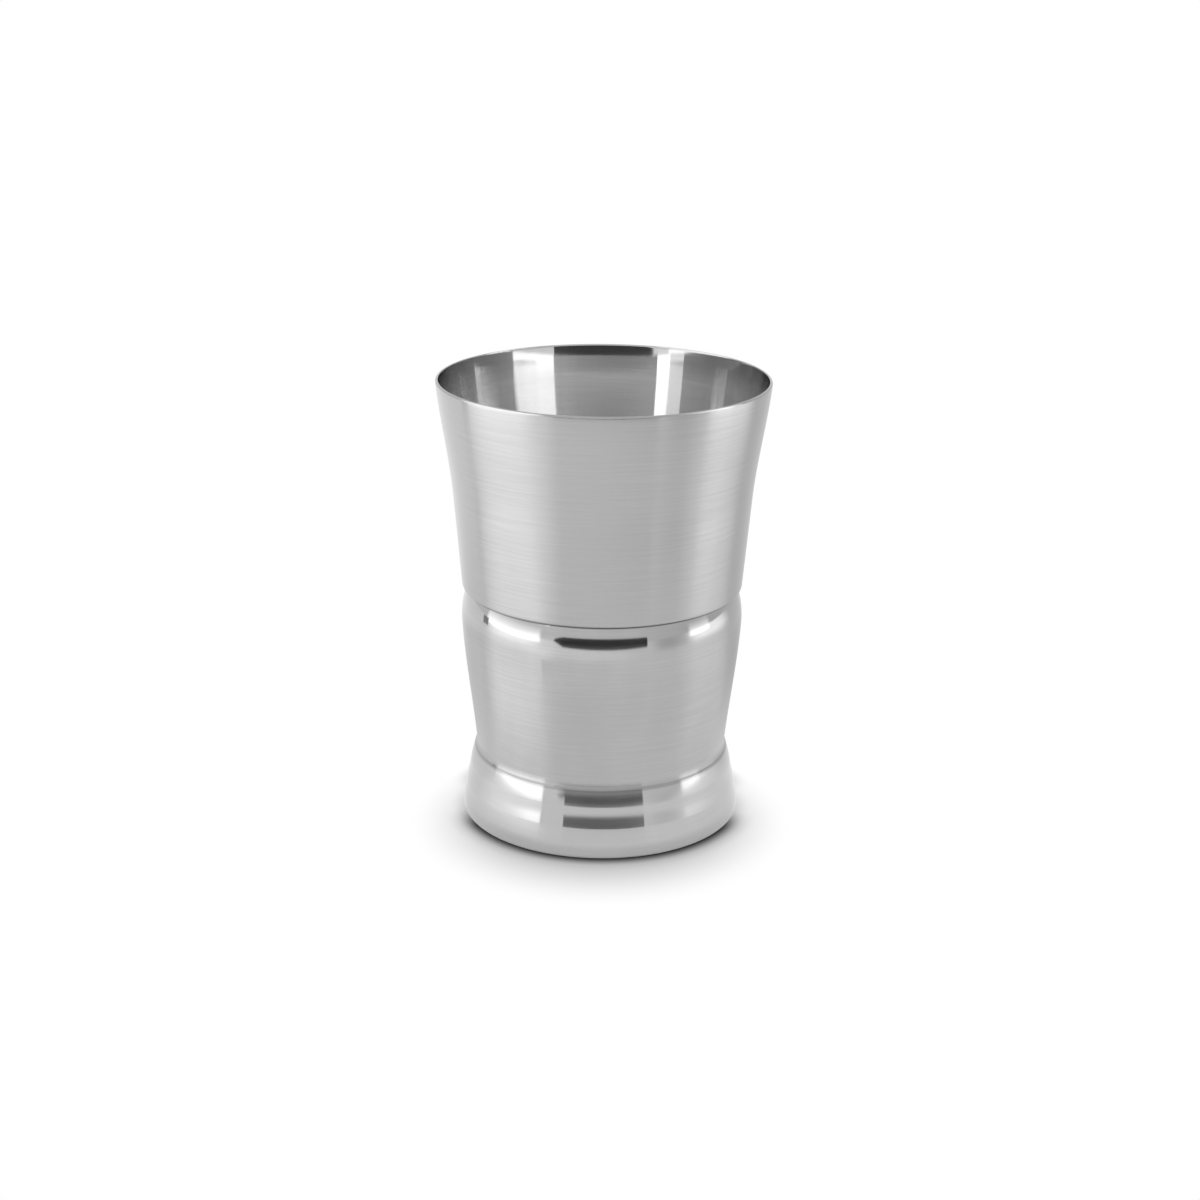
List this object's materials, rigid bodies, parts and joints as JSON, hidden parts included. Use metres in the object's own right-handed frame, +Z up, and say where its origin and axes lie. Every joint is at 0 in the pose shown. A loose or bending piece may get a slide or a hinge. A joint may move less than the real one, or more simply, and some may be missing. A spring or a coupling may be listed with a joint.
{
  "type": "julep cup",
  "caption": "Footed steel drinking cup with a flared upper wall, a fine seam, a rounded shoulder, a jacketed lower body, a sharp waist and a flared foot.",
  "frame": {"origin": "centre of the ring that the cup stands on, at table level", "axes": "+Z up along the cup's axis, from the foot to the rim; the cup is round, so +X and +Y are free"},
  "size_m": [0.079, 0.079, 0.108],
  "materials": {
    "brushed_bowl": "fine satin brushing round the cup",
    "brushed_jacket": "bright polish on the shoulder, fine satin brushing below",
    "polished_foot": "bright polish",
    "brushed_base": "turned satin"
  },
  "bodies": {
    "root": {"drinking_bowl": "brushed_bowl", "body_jacket": "brushed_jacket", "foot_shell": "polished_foot", "base_plate": "brushed_base"}
  },
  "joints": []
}
